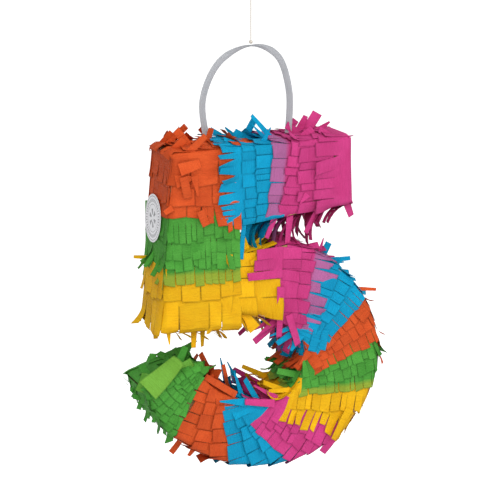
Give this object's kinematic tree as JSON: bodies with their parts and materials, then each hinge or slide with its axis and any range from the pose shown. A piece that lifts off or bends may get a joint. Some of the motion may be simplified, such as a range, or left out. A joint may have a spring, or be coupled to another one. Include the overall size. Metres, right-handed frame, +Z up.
{
  "type": "pinata",
  "caption": "Hanging party pinata shaped as the digit five: a hollow cardboard box covered in bands of fringed tissue paper, with a fill flap, a ribbon loop and a thread.",
  "frame": {"origin": "inside the top of the thread's tied loop, where a hook bears", "axes": "+X to the right of the digit as it is read, -Y towards the side it is read from, +Z up"},
  "size_m": [0.2882, 0.075, 0.5525],
  "materials": {
    "pink_tissue": "matte",
    "blue_tissue": "matte",
    "orange_tissue": "matte",
    "green_tissue": "matte",
    "yellow_tissue": "matte",
    "cardboard": "matte",
    "ribbon": "satin",
    "thread": "matte",
    "label_paper": "satin"
  },
  "bodies": {
    "thread_end": {"thread_loop": "thread"},
    "thread": {"hanging_thread": "thread"},
    "ribbon": {"thread_knot": "thread", "ribbon_loop": "ribbon"},
    "shell": {"front_panel": "cardboard", "back_panel": "cardboard", "top_wall": "cardboard", "bar_end_wall": "cardboard", "bar_under_wall": "cardboard", "notch_wall": "cardboard", "bowl_wall": "cardboard", "tail_end_wall": "cardboard", "eye_wall": "cardboard", "stem_foot_wall": "cardboard", "left_wall": "cardboard", "pink_bar_band": "pink_tissue", "blue_bar_band": "blue_tissue", "orange_corner_band": "orange_tissue", "green_stem_band": "green_tissue", "yellow_foot_band": "yellow_tissue", "pink_belly_band": "pink_tissue", "blue_belly_band": "blue_tissue", "orange_bowl_band": "orange_tissue", "green_bowl_band": "green_tissue", "yellow_bowl_band": "yellow_tissue", "pink_bowl_band": "pink_tissue", "blue_bowl_band": "blue_tissue", "orange_tail_band": "orange_tissue", "green_tail_band": "green_tissue", "pink_end_sheet": "pink_tissue", "green_end_sheet": "green_tissue", "ribbon_tail_left": "ribbon", "ribbon_tail_right": "ribbon", "round_label": "label_paper"},
    "flap": {"fill_flap": "cardboard", "flap_fringe": "green_tissue"}
  },
  "joints": [
    {"name": "thread_swing", "type": "hinge", "parent": "thread_end", "child": "thread", "pos_m": [0, 0, -0.0124], "axis": [0, 1, 0], "range_deg": [-45, 45]},
    {"name": "ribbon_spin", "type": "hinge", "parent": "thread", "child": "ribbon", "pos_m": [0, 0, -0.06495], "axis": [0, 0, 1], "continuous": true},
    {"name": "shell_tilt", "type": "hinge", "parent": "ribbon", "child": "shell", "pos_m": [0, 0, -0.17449], "axis": [0.9994, 0, 0.0333], "range_deg": [-60, 60]},
    {"name": "flap_hinge", "type": "hinge", "parent": "shell", "child": "flap", "pos_m": [-0.065, 0.0375, -0.26245], "axis": [1, 0, 0], "range_deg": [0, 110]}
  ]
}
